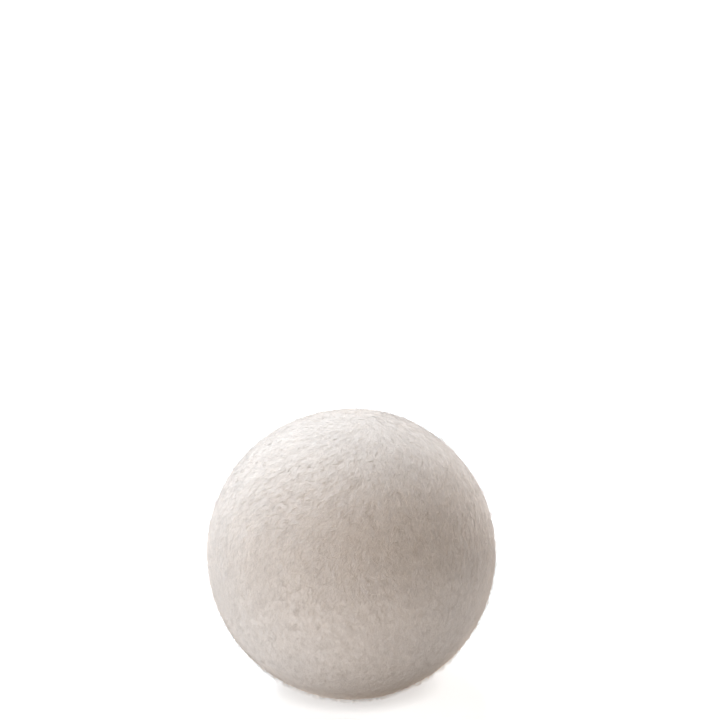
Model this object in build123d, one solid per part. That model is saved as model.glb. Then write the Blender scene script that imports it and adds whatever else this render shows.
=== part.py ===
"""A felted wool dryer ball, built up as the real one is, from the seed outwards.

A tight starter core is wound with two sets of three crossing strips of carded wool,
evened out with a thin batt, and closed by the felted outer coat. The layers meet face
to face with no gaps. All lengths are in millimetres. The origin is the centre of the
small flat that the ball rests on, and +Z points up through the ball's middle.
"""

import os
from math import radians, sqrt, tan

from build123d import *

# Driving dimensions
BALL_R = 35.0  # outer radius of the finished ball
REST_R = 4.0  # radius of the flat where the soft coat gives under the ball's weight
COAT_T = 3.5  # thickness of the felted outer coat
BATT_T = 3.5  # thickness of the batt under the coat
CORE_R = 10.0  # radius of the starter core
MID_R = 19.0  # radius where the first set of wraps ends and the second begins
EDGE_ANGLE = 38.0  # each wrap's edge slopes this many degrees from its own great circle
INNER_FLATS = (1.0, 1.3, 1.6)  # how far the first set's edges stand out from the middle
OUTER_FLATS = (1.6, 2.0, 2.4)  # the same for the second set, whose strips are wider
OUTER_TURN = (35.0, 25.0, 0.0)  # how far the second set is turned from the first, degrees

# Radii and heights that follow
BATT_R = BALL_R - COAT_T
WRAP_R = BATT_R - BATT_T
CENTRE_Z = sqrt(BALL_R**2 - REST_R**2)
REACH = 2 * BALL_R  # how far a wrap's space runs out before it is cut to its layer

# A set's three wraps lie round Z, round Y and round X
WRAP_TURNS = ((0, 0, 0), (90, 0, 0), (0, 90, 0))

# How far each sphere's seam is turned, so that no two seams fall together
SHELL_SEAM = 20.0
FIRST_SEAM = 50.0
SECOND_SEAM = -35.0


def sphere(radius, turn, seam):
    """A ball whose poles lie on a wrap's own axis, which keeps them clear of the wrap."""
    return Rotation(*turn) * Rotation(0, 0, seam) * Sphere(radius)


def wrap_space(flat, turn):
    """The space that a strip wound round the ball may fill: a disc that thickens outwards."""
    edge = flat + REACH * tan(radians(EDGE_ANGLE))
    outline = Polyline((0, -flat), (REACH, -edge), (REACH, edge), (0, flat), close=True)
    space = revolve(make_face(Plane.XZ * outline), axis=Axis.Z)
    return Rotation(*turn) * space


def wrap(place, inner_r, outer_r, spaces):
    """One wrap of a set of three: where strips cross, each later one lies over the earlier."""
    turn = WRAP_TURNS[place]
    step = (outer_r - inner_r) / 3
    first = sphere(inner_r + step, turn, FIRST_SEAM)
    second = sphere(outer_r - step, turn, SECOND_SEAM)
    shell = sphere(outer_r, turn, SHELL_SEAM) - sphere(inner_r, turn, SHELL_SEAM)
    strip = shell & spaces[place]
    if place == 0:
        return strip - (spaces[1] - first) - (spaces[2] - first)
    if place == 1:
        return strip - (spaces[0] & first) - (spaces[2] - second)
    return strip - (spaces[0] & first) - (spaces[1] & second)


def wrap_set(name, inner_r, outer_r, flats):
    """Three crossing wraps that fill the shell between two radii, by their nodes' names."""
    spaces = [wrap_space(flat, turn) for flat, turn in zip(flats, WRAP_TURNS)]
    return {
        f"{name}_{letter}": wrap(place, inner_r, outer_r, spaces)
        for place, letter in enumerate("abc")
    }


def layer(inner_r, outer_r):
    """A closed coat of even thickness round the ball."""
    return Sphere(outer_r) - Sphere(inner_r)


def felt_skin():
    """The outer coat, pressed flat over the small disc that it rests on."""
    below = Box(2 * BALL_R, 2 * BALL_R, BALL_R, align=(Align.CENTER, Align.CENTER, Align.MAX))
    return layer(BATT_R, BALL_R) - Pos(0, 0, -CENTRE_Z) * below


def ball():
    """Every piece by its node's name, about the ball's own centre."""
    outer_set = wrap_set("outer_wrap", MID_R, WRAP_R, OUTER_FLATS)
    return {
        "starter_core": Sphere(CORE_R),
        **wrap_set("inner_wrap", CORE_R, MID_R, INNER_FLATS),
        **{node: Rotation(*OUTER_TURN) * piece for node, piece in outer_set.items()},
        "under_batt": layer(WRAP_R, BATT_R),
        "felt_skin": felt_skin(),
    }


os.makedirs("parts", exist_ok=True)
for node, piece in ball().items():
    export_step(Pos(0, 0, CENTRE_Z) * piece, f"parts/{node}.step")
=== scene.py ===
"""The looks of a felted wool dryer ball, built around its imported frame.

The outer coat is a lumpy felted shell with short matted locks of fibre lying over it, and a
thin fuzz standing off it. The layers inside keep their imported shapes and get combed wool
materials. Lengths in the settings are metres, in the frame's own axes.
"""

import math

import bpy
import numpy as np
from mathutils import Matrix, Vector


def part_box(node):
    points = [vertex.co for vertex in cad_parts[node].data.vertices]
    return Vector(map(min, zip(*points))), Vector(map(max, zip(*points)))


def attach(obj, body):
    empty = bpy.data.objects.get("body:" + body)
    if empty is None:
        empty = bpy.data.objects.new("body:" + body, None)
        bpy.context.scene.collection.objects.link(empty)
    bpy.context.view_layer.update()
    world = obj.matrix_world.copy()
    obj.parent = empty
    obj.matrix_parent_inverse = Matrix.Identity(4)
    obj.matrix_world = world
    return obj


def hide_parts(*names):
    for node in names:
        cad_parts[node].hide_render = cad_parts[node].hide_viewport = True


bl_info = {
    "name": "Wool dryer ball",
    "version": (1, 0, 0),
    "blender": (4, 5, 0),
    "location": "3D View > Sidebar > Dryer Ball",
    "description": "Builds a felted wool dryer ball, its fibres and its studio",
    "category": "Object",
}

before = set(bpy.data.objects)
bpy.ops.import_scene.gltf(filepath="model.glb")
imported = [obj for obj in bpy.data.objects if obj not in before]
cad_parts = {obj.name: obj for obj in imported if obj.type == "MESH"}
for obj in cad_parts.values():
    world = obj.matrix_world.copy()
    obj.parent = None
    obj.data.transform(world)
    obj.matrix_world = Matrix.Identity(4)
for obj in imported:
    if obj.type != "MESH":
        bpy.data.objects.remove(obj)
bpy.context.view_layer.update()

SKIN_LOW, SKIN_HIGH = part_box("felt_skin")
BALL_RADIUS = (SKIN_HIGH.x - SKIN_LOW.x) / 2
CENTRE = np.array([0.0, 0.0, SKIN_HIGH.z - BALL_RADIUS])
FELT_RADIUS = 0.99 * BALL_RADIUS  # the fuzz makes up the rest of the ball's size
BATT_RADIUS = (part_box("under_batt")[1].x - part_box("under_batt")[0].x) / 2
FLOOR_GAP = 0.00001  # how close to the floor a fibre may come

# Noise
NOISE_SIZE = 64  # cells along each side of the table of random values, which then repeats
NOISE_SHIFT = 1000.37  # cells that the table is moved by, to keep its corners off the middle
LUMP_SEED = 11
PILL_SEED = 23
BLOTCH_SEED = 57
COMB_SEED = 384  # one at which the comb runs upright on the right and across on the left
MAT_SEED = 100  # each mat of fibres adds its own number to this
FUZZ_SEED = 300  # and each piece of fuzz adds its own to this

# The felt
UNDERSIDE = (0.8, 0.97)  # how far down the felt starts to widen, and is full, in ball radii
LOWER_TO_UPPER = (-0.15, 0.45)  # the heights where it stops being pressed and is all loose
SLOPE_STEP = 0.004  # how far apart the lumps' heights are read for a slope, in ball radii
ASLANT = np.array([0.31, 0.17, 0.94])  # crossed with an outward way, it gives one that touches
INNER_CELLS = 24  # grid cells along each patch of the coat's inside, which is plain

# The fibres
PATH_POINTS = 5  # points along each fibre
POINT_VERTICES = (1, 3, 3, 3, 1)  # vertices that the tube has at each of them
TUBE_VERTICES = sum(POINT_VERTICES)
SCATTER = 1.2  # spread of the locks off an even layout, in ball radii over their number's root
SLIP = 0.25  # how far a lock's fibres slip along each other, as a share of their length
LEAST_CURL = 20.0  # what a straighter fibre gets instead, since its arc is divided by the curl
STEEPEST_LEAN = 0.8  # the most that a fibre's shading may tip, as a slope
CURL_RANGE = (0.6, 1.4)  # the least and most of each, as shares of the setting
LENGTH_RANGE = (0.6, 1.3)
LIFT_RANGE = (0.1, 1.0)  # before the bias keeps more of them low
RADIUS_RANGE = (0.7, 1.2)

# The materials
COAT_ROUGHNESS = 0.9
COAT_SHEEN = 1.0
LAYER_SHEEN = 0.2
CORE_COLOUR = (0.78, 0.72, 0.64)
CARDED_COLOUR = (0.82, 0.77, 0.69)
COMB_STREAK = 5.0  # how much longer than wide the combed streaks of the layers are

# The studio: each light's azimuth and elevation in degrees, its size in metres and its colour
LIGHTS = {
    "key": (190, 65, 0.4, (0.83, 0.915, 1.0)),
    "side_key": (220, 50, 0.4, (0.74, 0.87, 1.0)),
    "left_fill": (290, 5, 0.8, (0.85, 0.925, 1.0)),
    "rim": (133, 6, 0.6, (1.0, 0.97, 0.94)),
    "front_fill": (0, 20, 0.5, (1.0, 0.87, 0.74)),
}
FLOOR_HALF = 4.0  # half the floor's side, in metres
PAINTED_FOOT_SHADOW = (0.48, 0.66)  # where the painted shadow under the ball ends, in ball radii
WIDE_SHADE = (2, 10)  # where the floor leaves its near brightness and reaches white
PAINTED_SHADOW_DEPTH = 1.4  # how much narrower the floor's glow and its painted shadow are from front to back than across


# ---------------------------------------------------------------- noise and directions


def lattice_noise(points, cell, seed):
    """Smooth noise from -1 to 1: random values at the corners of cubes of side cell, carried
    between them by the curve t*t*(3-2t) along each axis."""
    rng = np.random.default_rng(seed)
    table = rng.uniform(-1, 1, (NOISE_SIZE, NOISE_SIZE, NOISE_SIZE)).astype(np.float32)
    scaled = points / cell + NOISE_SHIFT
    low = np.floor(scaled).astype(np.int64)
    part = (scaled - low).astype(np.float32)
    part = part * part * (3 - 2 * part)
    low %= NOISE_SIZE
    high = (low + 1) % NOISE_SIZE
    total = np.zeros(len(points), np.float32)
    for corner in range(8):
        pick = [(corner >> axis) & 1 for axis in range(3)]
        index = [high[:, axis] if pick[axis] else low[:, axis] for axis in range(3)]
        weight = np.ones(len(points), np.float32)
        for axis in range(3):
            weight *= part[:, axis] if pick[axis] else 1 - part[:, axis]
        total += weight * table[index[0], index[1], index[2]]
    return total


def layered_noise(points, cell, octaves, seed):
    """Noise at cell, then at half of it with half the height, and so on, scaled to about 1."""
    total = np.zeros(len(points), np.float32)
    height, whole = 1.0, 0.0
    for octave in range(octaves):
        total += height * lattice_noise(points, cell / 2**octave, seed + octave)
        whole += height
        height /= 2
    return total / whole


def unit(vectors):
    """Each row divided by its own length."""
    return vectors / np.maximum(np.linalg.norm(vectors, axis=-1, keepdims=True), 1e-12)


def scattered(rng, count):
    """Unit directions spread evenly over the ball, then shifted at random: the heights fall in
    equal steps, and each turns by the golden angle from the one before."""
    step = np.arange(count) + 0.5
    height = 1 - 2 * step / count
    turn = math.pi * (3 - math.sqrt(5)) * step + rng.uniform(0, 2 * math.pi)
    ring = np.sqrt(1 - height**2)
    even = np.stack([ring * np.cos(turn), ring * np.sin(turn), height], axis=1)
    return unit(even + rng.normal(0, SCATTER / math.sqrt(count), (count, 3)))


def combed_direction(normals, swirl_cell, swirl, seed):
    """The way that the wool lies: down the ball, turned by up to swirl half turns of noise."""
    down = np.array([0.0, 0.0, -1.0])
    along = unit(down - (normals @ down)[:, None] * normals)
    across = np.cross(normals, along)
    turn = math.pi * swirl * layered_noise(normals * BALL_RADIUS, swirl_cell, 2, seed)
    return np.cos(turn)[:, None] * along + np.sin(turn)[:, None] * across


def lumps(normals, settings):
    """How far the felt stands off the true ball: broad soft lumps and finer pills of wool."""
    points = normals * BALL_RADIUS
    broad = layered_noise(points, settings.lump_size, 2, LUMP_SEED)
    fine = layered_noise(points, settings.pill_size, 3, PILL_SEED)
    return settings.lump_height * broad + settings.pill_height * fine


def felt_radius(way, settings):
    """The lumpy felt's distance from the ball's middle. The fuzz outside it makes up the rest of
    the ball's size, but is pressed away underneath, where the felt itself reaches the floor."""
    plain = np.interp(-way[:, 2], UNDERSIDE, (FELT_RADIUS, BALL_RADIUS))
    return plain + lumps(way, settings)


def felt_normals(way, settings):
    """The outward directions of the lumpy felt: the ball's own, tipped back by the slopes of the
    lumps along two directions that touch the ball."""
    first = unit(np.cross(way, ASLANT))
    second = np.cross(way, first)
    here = lumps(way, settings)
    tipped = way.copy()
    for side in (first, second):
        rise = lumps(unit(way + SLOPE_STEP * side), settings) - here
        tipped -= (rise / (SLOPE_STEP * BALL_RADIUS))[:, None] * side
    return unit(tipped)


# ---------------------------------------------------------------- meshes


def new_piece(name, points, triangles):
    """A mesh object at the origin from an array of points and one of corner numbers."""
    mesh = bpy.data.meshes.new(name)
    corners = triangles.shape[1]
    mesh.vertices.add(len(points))
    mesh.vertices.foreach_set("co", np.ascontiguousarray(points, np.float32).ravel())
    mesh.loops.add(triangles.size)
    mesh.loops.foreach_set("vertex_index", np.ascontiguousarray(triangles, np.int32).ravel())
    mesh.polygons.add(len(triangles))
    mesh.polygons.foreach_set("loop_start", np.arange(0, triangles.size, corners, dtype=np.int32))
    mesh.update(calc_edges=True)
    mesh.shade_smooth()
    piece = bpy.data.objects.new(name, mesh)
    bpy.context.scene.collection.objects.link(piece)
    return piece


def set_normals(piece, normals):
    """Shades a piece by the felt that it lies on, one direction for each vertex."""
    layer = piece.data.attributes.new("custom_normal", "FLOAT_VECTOR", "POINT")
    layer.data.foreach_set("vector", np.ascontiguousarray(normals, np.float32).ravel())


def cube_ball(cells):
    """Unit directions and quads of a ball grown from a cube: each face's grid is spaced by equal
    angles, u and v from -45 to 45 degrees, and (tan u, tan v, 1) is brought to length 1."""
    angle = np.tan(np.linspace(-math.pi / 4, math.pi / 4, cells + 1))
    u, v = [grid.ravel() for grid in np.meshgrid(angle, angle, indexing="ij")]
    one = np.ones_like(u)
    faces = [(one, u, v), (-one, v, u), (v, one, u), (u, -one, v), (u, v, one), (v, u, -one)]
    points = unit(np.concatenate([np.stack(face, axis=1) for face in faces]))
    step = np.arange(cells)
    corner = (step[:, None] * (cells + 1) + step[None, :]).ravel()
    quad = np.stack([corner, corner + cells + 1, corner + cells + 2, corner + 1], axis=1)
    quads = np.concatenate([quad + face * (cells + 1) ** 2 for face in range(6)])
    keys = np.round(points * 1e6).astype(np.int64)
    kept, first, place = np.unique(keys, axis=0, return_index=True, return_inverse=True)
    return points[first], place.ravel()[quads]


def set_floor(points, height=0.0):
    """Nothing reaches below the surface that the ball stands on."""
    points[:, 2] = np.maximum(points[:, 2], height)
    return points


def fibre_tubes(points, radius):
    """Closed three-sided tubes that taper to a point at both ends. points holds each fibre's
    own five points; the three inner ones get a ring: point + radius * (cos a * out + sin a *
    side), where side is square to both the fibre and the outward direction."""
    count = len(points)
    inner = points[:, 1:4]
    ahead = unit(points[:, 2:5] - points[:, 0:3])
    out = unit(inner - CENTRE)
    side = unit(np.cross(ahead, out))
    out = np.cross(side, ahead)
    angle = np.radians([90.0, 210.0, 330.0])
    spread = np.sin(angle)[None, None, :, None] * out[:, :, None, :]
    spread = spread + np.cos(angle)[None, None, :, None] * side[:, :, None, :]
    rings = inner[:, :, None, :] + radius[:, None, None, None] * spread
    rings = rings.reshape(count, 9, 3)
    vertices = np.concatenate([points[:, :1], rings, points[:, 4:]], axis=1)
    faces = []
    for k in range(3):
        n = (k + 1) % 3
        faces.append((0, 1 + k, 1 + n))
        faces.append((10, 7 + n, 7 + k))
        for ring in (1, 4):
            faces.append((ring + k, ring + 3 + n, ring + n))
            faces.append((ring + k, ring + 3 + k, ring + 3 + n))
    faces = np.array(faces)
    triangles = faces[None] + TUBE_VERTICES * np.arange(count)[:, None, None]
    return vertices.reshape(-1, 3), triangles.reshape(-1, 3)


def lying_fibres(rng, felt, settings, count, lift, bias):
    """Locks of a few fibres that lie side by side, as five points each, and how far each fibre's
    surface leans to its side. A fibre is an arc in the plane that touches the ball,
    (sin(a + cs) - sin a, cos a - cos(a + cs)) / c for the stray a from its lock's way, the curl c
    and the distance s, laid back on the ball and lifted by a hump, 1 - (2s/length)^2."""
    each = settings.fibres_per_lock
    locks = count // each
    total = locks * each
    root = scattered(rng, locks)
    along = combed_direction(root, settings.swirl_size, settings.swirl, COMB_SEED)
    heading = rng.normal(0, settings.heading_spread, (locks, 1))
    lead = np.cos(heading) * along + np.sin(heading) * np.cross(root, along)
    curl = np.repeat(rng.normal(0, settings.curl, locks), each)
    curl = curl * rng.uniform(*CURL_RANGE, total)
    curl = np.where(np.abs(curl) < LEAST_CURL, LEAST_CURL, curl)[:, None]
    root, lead = np.repeat(root, each, axis=0), np.repeat(lead, each, axis=0)
    side = np.cross(root, lead)
    flank = rng.normal(size=(total, 1))
    slip = SLIP * settings.length * rng.normal(size=(total, 1))
    start = root * BALL_RADIUS + settings.lock_width * flank * side + slip * lead
    length = settings.length * rng.uniform(*LENGTH_RANGE, (total, 1))
    stray = rng.normal(0, settings.stray, (total, 1))
    s = np.linspace(-0.5, 0.5, PATH_POINTS) * length
    bend = stray + curl * s
    x = (np.sin(bend) - np.sin(stray)) / curl
    y = (np.cos(stray) - np.cos(bend)) / curl
    way = unit(start[:, None] + x[..., None] * lead[:, None] + y[..., None] * side[:, None])
    ground = felt_radius(way.reshape(-1, 3), felt).reshape(total, PATH_POINTS)
    hump = 1 - (2 * s / length) ** 2
    rise = lift * rng.uniform(*LIFT_RANGE, (total, 1)) ** bias
    height = rise * hump - settings.sink * (1 - hump)
    height += settings.crinkle * rng.normal(size=(total, PATH_POINTS)) * hump
    lean = settings.roundness * flank[:, 0]
    lean += settings.lean * np.repeat(rng.normal(size=locks), each)
    return CENTRE + way * (ground + height)[..., None], lean


def looseness(paths, settings):
    """How loose each fibre is: the felt is pressed smoother round the ball's lower half."""
    height = (paths[:, 2, 2] - CENTRE[2]) / BALL_RADIUS
    return np.interp(height, LOWER_TO_UPPER, (settings.pressed, settings.loose))


def fibre_normals(paths, lean, felt, settings):
    """The directions that shade the fibres: the felt's own, leaning to each fibre's side, so
    that a lock shades like one round strand and each lock catches the light differently."""
    way = unit(paths - CENTRE)
    normals = felt_normals(way.reshape(-1, 3), felt).reshape(paths.shape)
    side = unit(np.cross(normals, np.gradient(paths, axis=1)))
    tip = np.clip(looseness(paths, settings) * lean, -STEEPEST_LEAN, STEEPEST_LEAN)
    tipped = unit(normals + tip[:, None, None] * side)
    return np.repeat(tipped, POINT_VERTICES, axis=1).reshape(-1, 3)


# ---------------------------------------------------------------- materials


class Wire:
    """An output in a material's node tree. Arithmetic on it adds the Math node that does it."""

    def __init__(self, nodes, socket):
        self.nodes = nodes
        self.socket = socket

    def _math(self, operation, first, second):
        return self.nodes.add("ShaderNodeMath", {"operation": operation}, {0: first, 1: second})

    def __add__(self, other):
        return self._math("ADD", self, other)

    __radd__ = __add__

    def __mul__(self, other):
        return self._math("MULTIPLY", self, other)

    __rmul__ = __mul__


class Nodes:
    """A material's node tree, with one method that adds any node."""

    def __init__(self, name):
        self.material = bpy.data.materials.new(name)
        self.material.use_nodes = True
        self.tree = self.material.node_tree
        self.shader = self.tree.nodes["Principled BSDF"]

    def add(self, kind, settings=None, inputs=None, output=0):
        """Adds a node, makes its settings, then sets or links its inputs."""
        node = self.tree.nodes.new(kind)
        for name, value in (settings or {}).items():
            setattr(node, name, value)
        self.feed(node, inputs or {})
        return Wire(self, node.outputs[output])

    def feed(self, node, inputs):
        """Sets a node's inputs to plain values, or links them to wires."""
        for key, value in inputs.items():
            if isinstance(value, Wire):
                self.tree.links.new(value.socket, node.inputs[key])
            else:
                node.inputs[key].default_value = value

    def place(self, rotation=(0, 0, 0), scale=(1, 1, 1)):
        """The object's own coordinates, turned and stretched for a pattern."""
        own = self.add("ShaderNodeTexCoord", output="Object")
        return self.add(
            "ShaderNodeMapping",
            {"vector_type": "POINT"},
            {"Vector": own, "Rotation": rotation, "Scale": scale},
        )

    def noise(self, vector, scale, detail=2.0, roughness=0.5, distortion=0.0):
        """Noise from 0 to 1, scale to the metre."""
        values = {"Vector": vector, "Scale": scale, "Detail": detail}
        values.update({"Roughness": roughness, "Distortion": distortion})
        return self.add("ShaderNodeTexNoise", {"noise_dimensions": "3D"}, values)

    def own_shader(self):
        """The material's main shader, to mix with another."""
        return Wire(self, self.shader.outputs[0])

    def finish(self, shader):
        """Gives the surface this shader in place of the main one."""
        self.feed(self.tree.nodes["Material Output"], {"Surface": shader})

    def mix(self, factor, first, second):
        """One colour fading into another."""
        values = {0: factor, 6: first, 7: second}
        return self.add("ShaderNodeMix", {"data_type": "RGBA"}, values, output=2)

    def stretch(self, value, low, high, to_low=0.0, to_high=1.0):
        """A value carried from one range to another, and held at its ends."""
        values = {0: value, 1: low, 2: high, 3: to_low, 4: to_high}
        return self.add("ShaderNodeMapRange", {"clamp": True}, values)


def wool_shader(nodes, colour, roughness, sheen, sheen_tint):
    """The finish that all the wool shares: matt, with a faint halo of light at its edges."""
    inputs = {"Base Color": colour, "Roughness": roughness}
    inputs.update({"Specular IOR Level": 0.2, "Sheen Weight": sheen, "Sheen Roughness": 0.3})
    inputs["Sheen Tint"] = (*sheen_tint, 1.0)
    nodes.feed(nodes.shader, inputs)


def felt_material(settings):
    """The felt under the fibres: blotches of paler and warmer wool, and a matted grain."""
    nodes = Nodes("felt")
    place = nodes.place()
    blotch = nodes.stretch(nodes.noise(place, scale=140.0, detail=3.0), low=0.3, high=0.7)
    grain = nodes.noise(place, scale=1400.0, detail=3.0, roughness=0.6, distortion=1.2)
    base = nodes.mix(blotch, (*settings.shade_colour, 1.0), (*settings.wool_colour, 1.0))
    speck = nodes.stretch(grain, low=0.3, high=0.7, to_high=0.5)
    colour = nodes.mix(speck, base, (*settings.pale_colour, 1.0))
    wool_shader(nodes, colour, COAT_ROUGHNESS, COAT_SHEEN, settings.pale_colour)
    values = {"Strength": 0.5, "Distance": 0.0001, "Height": grain}
    bump = nodes.add("ShaderNodeBump", None, values)
    nodes.feed(nodes.shader, {"Normal": bump})
    return nodes.material


def fibre_material(settings):
    """The fibres: each one has its own tint, between warm and pale wool."""
    nodes = Nodes("fibre")
    tint = nodes.add("ShaderNodeAttribute", {"attribute_name": "tint"}, output="Fac")
    colour = nodes.mix(tint, (*settings.wool_colour, 1.0), (*settings.pale_colour, 1.0))
    wool_shader(nodes, colour, COAT_ROUGHNESS, COAT_SHEEN, settings.pale_colour)
    return nodes.material


def layer_material(name, colour, axis_turn, streak):
    """Carded wool combed one way: noise drawn out along the strip's own direction."""
    nodes = Nodes(name)
    place = nodes.place(rotation=axis_turn, scale=(1.0, streak, streak))
    comb = nodes.noise(place, scale=160.0, detail=4.0, roughness=0.6)
    fluff = nodes.noise(nodes.place(), scale=500.0, detail=3.0)
    dark = tuple(0.86 * part for part in colour)
    mixed = nodes.mix(nodes.stretch(comb, low=0.3, high=0.7), (*dark, 1.0), (*colour, 1.0))
    roughness = nodes.stretch(fluff, low=0.3, high=0.7, to_low=0.8, to_high=0.95)
    wool_shader(nodes, mixed, roughness, LAYER_SHEEN, colour)
    values = {"Strength": 0.6, "Distance": 0.0003, "Height": comb + 0.4 * fluff}
    nodes.feed(nodes.shader, {"Normal": nodes.add("ShaderNodeBump", None, values)})
    return nodes.material


# ---------------------------------------------------------------- settings


def length_property(name, description, default):
    """A length in metres with enough digits for wool."""
    return bpy.props.FloatProperty(
        name=name, description=description, default=default, unit="LENGTH", precision=5
    )


def watts_property(name, description, default):
    """A light's power."""
    return bpy.props.FloatProperty(
        name=name, description=description, default=default, min=0, unit="POWER"
    )


def colour_property(name, description, default):
    """A linear colour."""
    return bpy.props.FloatVectorProperty(
        name=name, description=description, default=default, subtype="COLOR", size=3, min=0, max=1
    )


class FeltSettings(bpy.types.PropertyGroup):
    """The felted coat's shape and colours."""

    cells: bpy.props.IntProperty(
        name="Cells", description="Grid cells along each of the ball's six patches", default=124
    )
    lump_size: length_property("Lump size", "How wide the soft lumps are", 0.016)
    lump_height: length_property("Lump height", "How far the lumps stand out", 0.00017)
    pill_size: length_property("Pill size", "How wide the finest pills of wool are", 0.0022)
    pill_height: length_property("Pill height", "How far the pills stand out", 0.000013)
    wool_colour: colour_property("Wool", "The wool's own colour", (0.622, 0.541, 0.483))
    pale_colour: colour_property("Pale wool", "The palest fibres", (0.9, 0.796, 0.713))
    shade_colour: colour_property("Shade wool", "The warmer patches", (0.66, 0.57, 0.5))
    blotch_size: length_property("Blotch size", "How wide the fibres' patches of tint are", 0.006)
    blotch: bpy.props.FloatProperty(
        name="Blotch", description="How far those patches shift the tint", default=0.2
    )


class FibreSettings(bpy.types.PropertyGroup):
    """The matted fibres that lie over the coat, and the fuzz that stands off it."""

    pieces: bpy.props.IntProperty(
        name="Pieces", description="Mats that the fibres are shared between", default=6
    )
    count: bpy.props.IntProperty(
        name="Fibres per mat", description="Fibres in each mat", default=10500
    )
    fibres_per_lock: bpy.props.IntProperty(
        name="Fibres per lock", description="Fibres that lie side by side in a lock", default=2
    )
    length: length_property("Length", "How long a fibre shows", 0.0022)
    radius: length_property("Radius", "A fibre's thickest radius", 0.000038)
    lock_width: length_property("Lock width", "How far a lock's fibres spread", 0.00007)
    lift: length_property("Lift", "How high a fibre rises off the felt", 0.00003)
    lift_bias: bpy.props.FloatProperty(
        name="Lift bias", description="Higher keeps more fibres low", default=2.4
    )
    sink: length_property("Sink", "How deep a fibre's ends go in", 0.00003)
    crinkle: length_property("Crinkle", "How unevenly a fibre runs", 0.000008)
    curl: bpy.props.FloatProperty(
        name="Curl", description="Spread of the fibres' bends, in radians per metre",
        default=45.0,
    )
    heading_spread: bpy.props.FloatProperty(
        name="Heading spread", description="How far locks turn from the comb", default=0.45,
        subtype="ANGLE",
    )
    stray: bpy.props.FloatProperty(
        name="Stray", description="How far a fibre turns from its lock", default=0.35,
        subtype="ANGLE",
    )
    fuzz_pieces: bpy.props.IntProperty(
        name="Fuzz pieces", description="Pieces that the fuzz is shared between", default=3
    )
    fuzz_count: bpy.props.IntProperty(
        name="Fuzz fibres", description="Fibres in each piece of fuzz", default=9000
    )
    fuzz_lift: length_property("Fuzz lift", "How high the highest of them rises", 0.0011)
    fuzz_bias: bpy.props.FloatProperty(
        name="Fuzz bias", description="Higher keeps more of the fuzz low", default=1.6
    )
    fuzz_radius: length_property("Fuzz radius", "Its fibres' thickest radius", 0.00002)
    roundness: bpy.props.FloatProperty(
        name="Roundness", description="How round a lock shades", default=0.1
    )
    lean: bpy.props.FloatProperty(
        name="Lean", description="How far whole locks lean to one side", default=0.2
    )
    pressed: bpy.props.FloatProperty(
        name="Pressed", description="Share of the fibres' contrast left below", default=0.5
    )
    loose: bpy.props.FloatProperty(
        name="Loose", description="Their contrast on the upper half", default=1.6
    )
    swirl: bpy.props.FloatProperty(
        name="Swirl", description="Half turns that the comb wanders by", default=0.42
    )
    swirl_size: length_property("Swirl size", "How wide a swirl of the comb is", 0.03)


class StudioSettings(bpy.types.PropertyGroup):
    """The camera, the lights and the floor."""

    distance: bpy.props.FloatProperty(
        name="Distance", description="Camera to ball, in ball radii", default=17.24
    )
    look_down: bpy.props.FloatProperty(
        name="Look down", description="How far above the ball the camera is", subtype="ANGLE",
        default=math.radians(24.7),
    )
    lens: bpy.props.FloatProperty(name="Lens", description="Focal length, mm", default=125.0)
    ball_left: bpy.props.FloatProperty(
        name="Left of middle", description="As a share of the frame's width", default=0.0133
    )
    ball_down: bpy.props.FloatProperty(
        name="Below middle", description="As a share of the frame's height", default=0.2682
    )
    light_distance: length_property("Light distance", "How far off the lights stand", 1.2)
    key: watts_property("Key", "The high soft box behind the ball", 13.3)
    side_key: watts_property("Side key", "The lower one beside it, on the left", 10.4)
    left_fill: watts_property("Left fill", "The low wide card on the left", 12.2)
    rim: watts_property("Rim", "The low light behind the ball, on its right", 9.4)
    front_fill: watts_property("Front fill", "The warm card by the camera", 4.1)
    # The floor's painted shadow: how bright its camera-only glow is at the ball's foot
    painted_shadow_glow: bpy.props.FloatProperty(
        name="Glow under the ball", description="How pale the floor is where it touches",
        default=0.5,
    )
    # Painted light: the camera-only glow that fills the cast shade near the ball
    painted_fill_glow: bpy.props.FloatProperty(
        name="Glow near the ball", description="How pale the floor stays in the shade", default=0.73
    )


# ---------------------------------------------------------------- operators


class BALL_OT_felt_skin(bpy.types.Operator):
    """Builds the felted outer coat: a lumpy closed shell, flat where it rests"""

    bl_idname = "dryer_ball.felt_skin"
    bl_label = "Felt Skin"

    def execute(self, context):
        settings = context.scene.dryer_ball_felt
        way, quads = cube_ball(settings.cells)
        outer = CENTRE + way * felt_radius(way, settings)[:, None]
        inner_way, inner_quads = cube_ball(INNER_CELLS)
        inner = CENTRE + inner_way * BATT_RADIUS
        points = set_floor(np.concatenate([outer, inner]))
        faces = np.concatenate([quads, inner_quads[:, ::-1] + len(outer)])
        piece = new_piece("felt_coat", points, faces)
        piece.data.materials.append(felt_material(settings))
        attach(piece, "root")
        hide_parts("felt_skin")
        return {"FINISHED"}


def fibre_piece(name, seed, felt, settings, count, lift, bias, thickness, material):
    """One mesh of many fibres, each with its own tint, that rides with the ball."""
    rng = np.random.default_rng(seed)
    paths, lean = lying_fibres(rng, felt, settings, count, lift, bias)
    points, faces = fibre_tubes(paths, thickness * rng.uniform(*RADIUS_RANGE, len(paths)))
    piece = new_piece(name, set_floor(points, FLOOR_GAP), faces)
    locks = rng.uniform(0, 1, len(paths) // settings.fibres_per_lock)
    tint = 0.5 * np.repeat(locks, settings.fibres_per_lock) - 0.5
    tint += 0.5 * rng.uniform(0, 1, len(paths))
    tint += felt.blotch * layered_noise(paths[:, 2] - CENTRE, felt.blotch_size, 2, BLOTCH_SEED)
    tint = 0.5 + looseness(paths, settings) * tint
    layer = piece.data.attributes.new("tint", "FLOAT", "POINT")
    layer.data.foreach_set("value", np.repeat(tint, TUBE_VERTICES).astype(np.float32))
    set_normals(piece, fibre_normals(paths, lean, felt, settings))
    piece.data.materials.append(material)
    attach(piece, "root")


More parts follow.
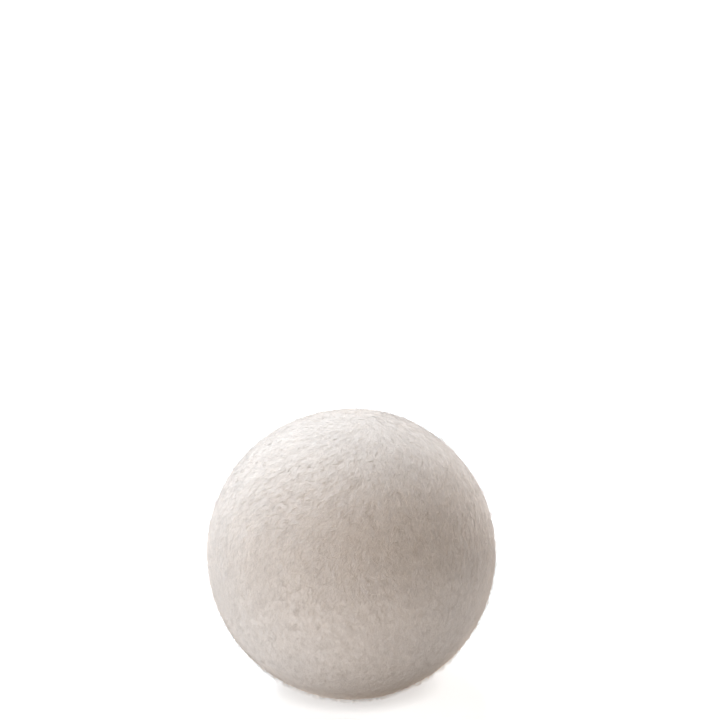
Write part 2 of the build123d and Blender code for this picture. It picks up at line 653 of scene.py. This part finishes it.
class BALL_OT_fibres(bpy.types.Operator):
    """Lays the matted locks of fibre over the coat"""

    bl_idname = "dryer_ball.fibres"
    bl_label = "Fibres"

    def execute(self, context):
        felt = context.scene.dryer_ball_felt
        settings = context.scene.dryer_ball_fibres
        material = fibre_material(felt)
        for number in range(1, settings.pieces + 1):
            fibre_piece(f"fibre_mat_{number}", MAT_SEED + number, felt, settings, settings.count,
                        settings.lift, settings.lift_bias, settings.radius, material)
        return {"FINISHED"}


class BALL_OT_fuzz(bpy.types.Operator):
    """Raises the loose loops of fine fibre that soften the ball's edge"""

    bl_idname = "dryer_ball.fuzz"
    bl_label = "Fuzz"

    def execute(self, context):
        felt = context.scene.dryer_ball_felt
        settings = context.scene.dryer_ball_fibres
        material = fibre_material(felt)
        for number in range(1, settings.fuzz_pieces + 1):
            fibre_piece(f"fuzz_{number}", FUZZ_SEED + number, felt, settings, settings.fuzz_count,
                        settings.fuzz_lift, settings.fuzz_bias, settings.fuzz_radius, material)
        return {"FINISHED"}


class BALL_OT_layers(bpy.types.Operator):
    """Gives the wool layers inside the coat their materials"""

    bl_idname = "dryer_ball.layers"
    bl_label = "Inner Layers"

    def execute(self, context):
        turns = {"a": (0, 0, 0), "b": (math.pi / 2, 0, 0), "c": (0, math.pi / 2, 0)}
        for name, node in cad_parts.items():
            if name == "felt_skin":
                continue
            colour = CORE_COLOUR if name == "starter_core" else CARDED_COLOUR
            turn = turns.get(name[-1], (0, 0, 0)) if "wrap" in name else (0, 0, 0)
            material = layer_material(f"{name}_wool", colour, turn, COMB_STREAK)
            if node.material_slots:
                for slot in node.material_slots:
                    slot.material = material
            else:
                node.data.materials.append(material)
        return {"FINISHED"}


def soft_box(name, azimuth, elevation, distance, size, power, colour):
    """A square soft light aimed at the ball, which the camera doesn't see. Azimuth 0 is in front
    of the ball, where the camera stands, and 90 is on its right."""
    data = bpy.data.lights.new(name, "AREA")
    data.shape = "SQUARE"
    data.size = size
    data.energy = power
    data.color = colour
    turn = math.radians(azimuth)
    rise = math.radians(elevation)
    flat = math.cos(rise)
    away = Vector((math.sin(turn) * flat, -math.cos(turn) * flat, math.sin(rise)))
    light = bpy.data.objects.new(name, data)
    light.location = Vector(CENTRE) + distance * away
    light.rotation_euler = (-away).to_track_quat("-Z", "Y").to_euler()
    light.visible_camera = False
    bpy.context.scene.collection.objects.link(light)


class BALL_OT_studio(bpy.types.Operator):
    """Sets up the floor, the soft lights and the camera"""

    bl_idname = "dryer_ball.studio"
    bl_label = "Studio"

    def execute(self, context):
        settings = context.scene.dryer_ball_studio
        scene = context.scene
        scene.view_settings.view_transform = "Standard"
        self.add_floor(settings)
        self.add_world(scene)
        for name, (azimuth, elevation, size, colour) in LIGHTS.items():
            power = getattr(settings, name)
            soft_box(name, azimuth, elevation, settings.light_distance, size, power, colour)
        self.add_camera(scene, settings)
        return {"FINISHED"}

    def add_floor(self, settings):
        """A wide white sweep. The camera alone sees it glow, painted light that fills the cast
        shade, and the glow dims close to the ball into a painted shadow round its foot, partly cast
        and partly painted."""
        corners = [(-1, -1, 0), (1, -1, 0), (1, 1, 0), (-1, 1, 0)]
        floor = new_piece("floor", FLOOR_HALF * np.array(corners), np.array([[0, 1, 2, 3]]))
        nodes = Nodes("floor")
        matt_grey = {"Base Color": (0.8, 0.8, 0.8, 1.0), "Roughness": 1.0}
        nodes.feed(nodes.shader, {**matt_grey, "Specular IOR Level": 0.0})
        place = nodes.place(scale=(1.0, PAINTED_SHADOW_DEPTH, 1.0))
        reach = nodes.add("ShaderNodeVectorMath", {"operation": "LENGTH"}, {0: place},
                          output="Value")
        under, near = settings.painted_shadow_glow, settings.painted_fill_glow
        painted_shadow_end, painted_shadow_clear = [share * BALL_RADIUS for share in PAINTED_FOOT_SHADOW]
        wide_start, wide_end = [share * BALL_RADIUS for share in WIDE_SHADE]
        # painted shadow: the glow dims towards the ball's foot
        close = nodes.stretch(reach, painted_shadow_end, painted_shadow_clear, under, near)
        wide = nodes.stretch(reach, wide_start, wide_end, 0.0, 1.0 - near)
        white = nodes.mix(close + wide, (0.0, 0.0, 0.0, 1.0), (1.0, 1.0, 1.0, 1.0))
        # painted light: the floor glows for the camera only
        light = nodes.add("ShaderNodeEmission", None, {"Color": white})
        both = nodes.add("ShaderNodeAddShader", None, {0: light, 1: nodes.own_shader()})
        seen = nodes.add("ShaderNodeLightPath", output="Is Camera Ray")
        inputs = {0: seen, 1: nodes.own_shader(), 2: both}
        nodes.finish(nodes.add("ShaderNodeMixShader", None, inputs))
        floor.data.materials.append(nodes.material)

    def add_world(self, scene):
        """White behind everything for the camera, and no light from it."""
        world = bpy.data.worlds.new("studio")
        world.use_nodes = True
        tree = world.node_tree
        seen = tree.nodes.new("ShaderNodeLightPath").outputs["Is Camera Ray"]
        background = tree.nodes["Background"]
        background.inputs["Color"].default_value = (1, 1, 1, 1)
        tree.links.new(seen, background.inputs["Strength"])
        scene.world = world

    def add_camera(self, scene, settings):
        """The camera looks over the ball, so that the ball stands below and left of the middle."""
        data = bpy.data.cameras.new("camera")
        data.lens = settings.lens
        camera = bpy.data.objects.new("camera", data)
        far = settings.distance * BALL_RADIUS
        down = settings.look_down
        back = Vector((0, -math.cos(down), math.sin(down)))
        camera.location = Vector(CENTRE) + far * back
        share = data.sensor_width / data.lens
        above = math.atan(settings.ball_down * share)
        right = math.atan(settings.ball_left * share)
        camera.rotation_euler = (math.pi / 2 - down + above, 0, -right)
        data.clip_start = 0.01
        scene.collection.objects.link(camera)
        scene.camera = camera


class BALL_PT_panel(bpy.types.Panel):
    """Lists the dryer ball's builders"""

    bl_label = "Dryer Ball"
    bl_idname = "BALL_PT_panel"
    bl_space_type = "VIEW_3D"
    bl_region_type = "UI"
    bl_category = "Dryer Ball"

    def draw(self, context):
        for operator in OPERATORS:
            self.layout.operator(operator.bl_idname)
        for group in ("felt", "fibres", "studio"):
            box = self.layout.box()
            settings = getattr(context.scene, f"dryer_ball_{group}")
            for name in settings.__annotations__:
                box.prop(settings, name)


OPERATORS = (BALL_OT_felt_skin, BALL_OT_fibres, BALL_OT_fuzz, BALL_OT_layers, BALL_OT_studio)
SETTINGS = (("felt", FeltSettings), ("fibres", FibreSettings), ("studio", StudioSettings))


def register():
    """Makes the settings, the operators and the panel known."""
    for name, group in SETTINGS:
        bpy.utils.register_class(group)
        pointer = bpy.props.PointerProperty(type=group)
        setattr(bpy.types.Scene, f"dryer_ball_{name}", pointer)
    for operator in OPERATORS:
        bpy.utils.register_class(operator)
    bpy.utils.register_class(BALL_PT_panel)


def unregister():
    """Takes back what register did."""
    bpy.utils.unregister_class(BALL_PT_panel)
    for operator in reversed(OPERATORS):
        bpy.utils.unregister_class(operator)
    for name, group in reversed(SETTINGS):
        delattr(bpy.types.Scene, f"dryer_ball_{name}")
        bpy.utils.unregister_class(group)


def main():
    """Builds everything in order."""
    register()
    bpy.ops.dryer_ball.felt_skin()
    bpy.ops.dryer_ball.fibres()
    bpy.ops.dryer_ball.fuzz()
    bpy.ops.dryer_ball.layers()
    bpy.ops.dryer_ball.studio()


if __name__ == "__main__":
    main()
